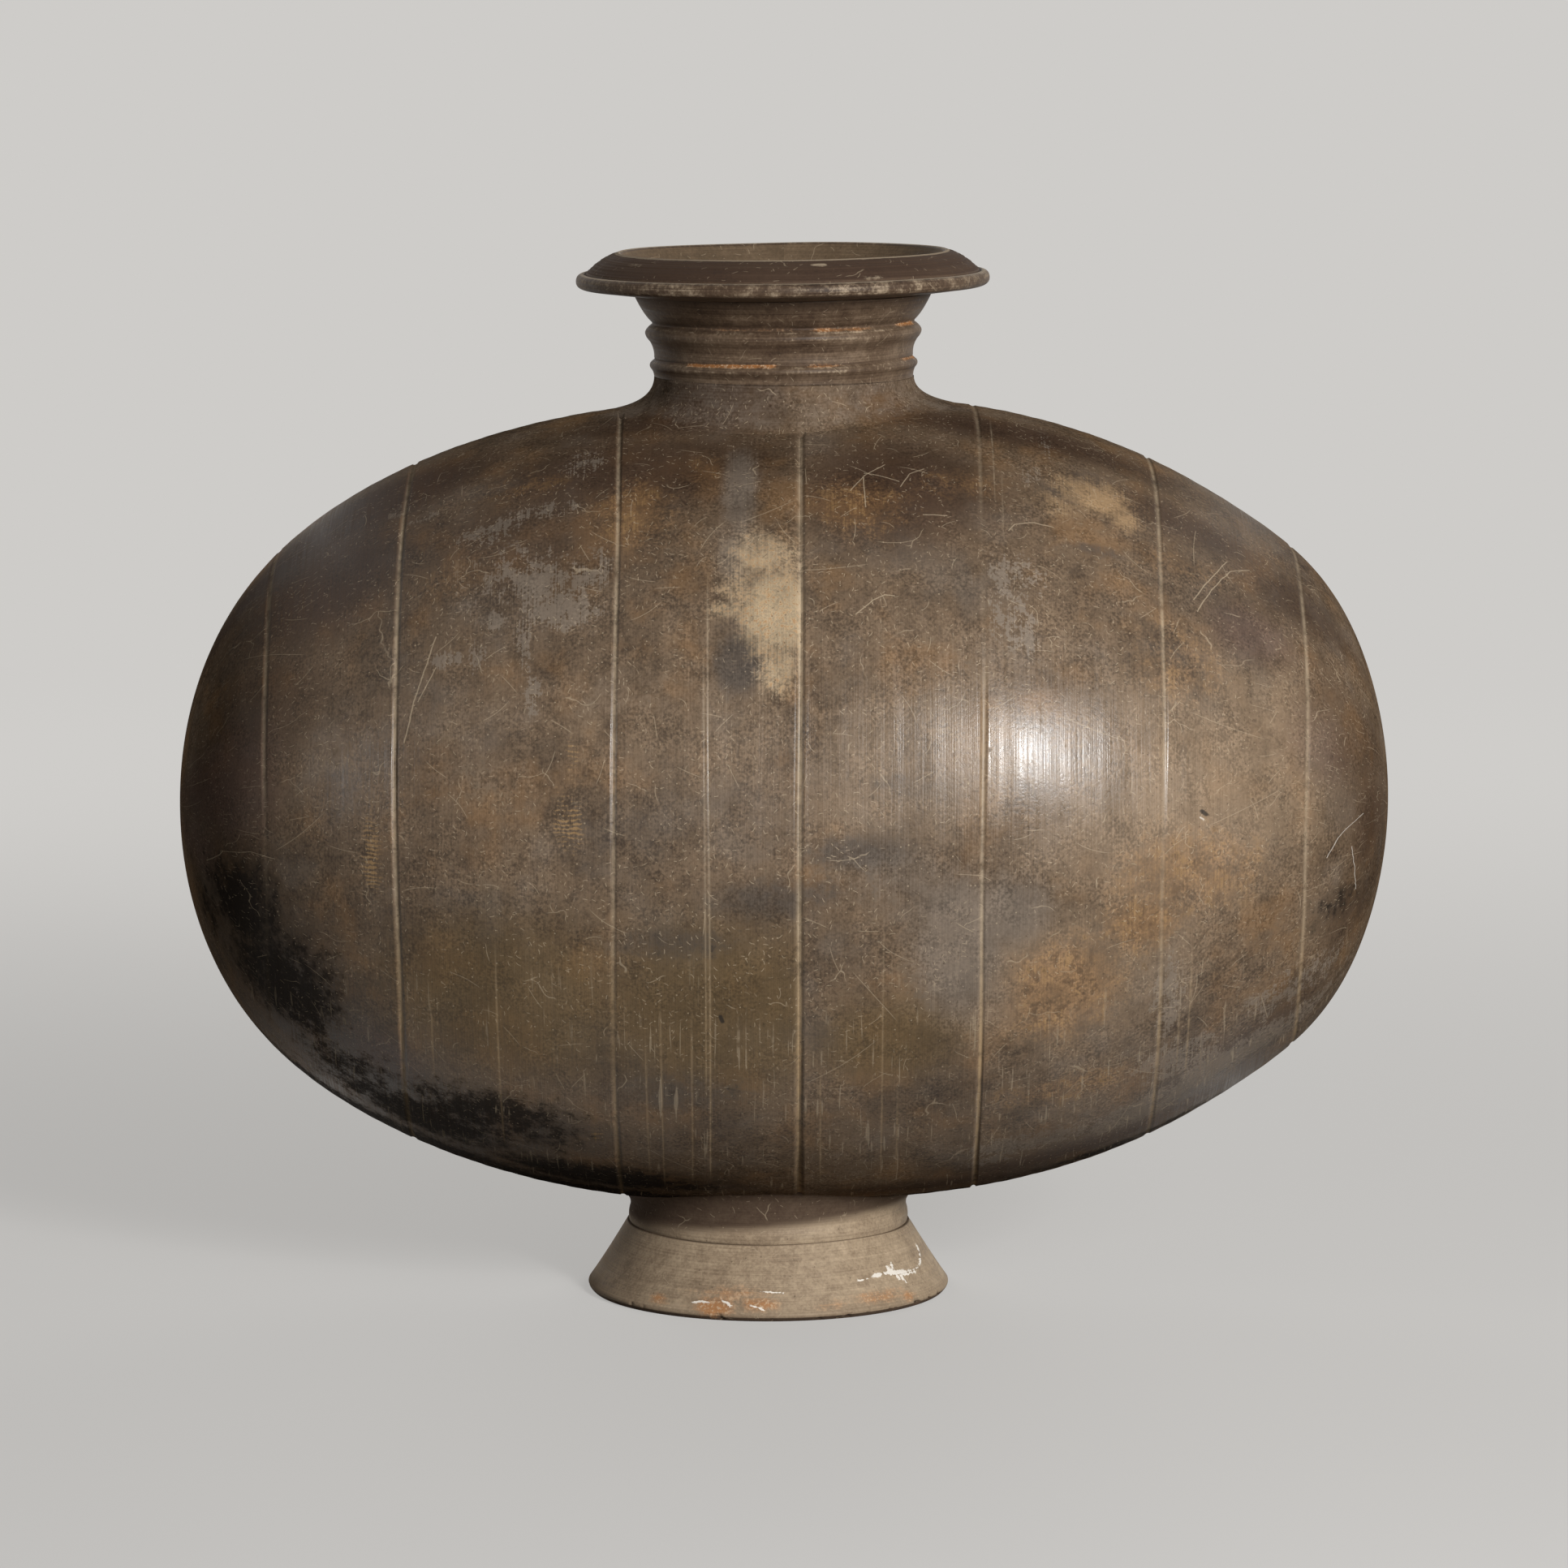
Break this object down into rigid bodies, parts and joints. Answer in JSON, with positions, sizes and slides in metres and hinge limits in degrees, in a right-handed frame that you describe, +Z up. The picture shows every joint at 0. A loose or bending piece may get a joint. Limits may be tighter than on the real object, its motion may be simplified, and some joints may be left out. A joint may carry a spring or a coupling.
{
  "type": "cocoon jar",
  "caption": "Lying egg-shaped earthenware jar with turned ring grooves, a short ridged neck with a wide beaded mouth on top and a splayed ring foot, for storing liquids.",
  "frame": {"origin": "middle of the jar's outline seen from above, on the surface that the foot stands on", "axes": "+X along the body's long axis towards the rounder right end, +Y away from the side that the picture shows, +Z up through the mouth"},
  "size_m": [0.48, 0.32, 0.4151],
  "materials": {
    "burnished_clay": "burnished low-fired earthenware, satin, mottled dark brown and grey",
    "neck_clay": "smoothed low-fired earthenware, satin, brown with rusty stains",
    "foot_clay": "worn low-fired earthenware, matt, grey-brown with pale crust",
    "raw_clay": "unburnished low-fired earthenware, matt"
  },
  "bodies": {
    "root": {"left_body_half": "burnished_clay", "right_body_half": "burnished_clay", "seam_coil": "raw_clay", "neck_collar": "neck_clay", "neck_fillet": "neck_clay", "mouth_ring": "neck_clay", "foot_collar": "foot_clay", "foot_ring": "foot_clay"}
  },
  "joints": []
}
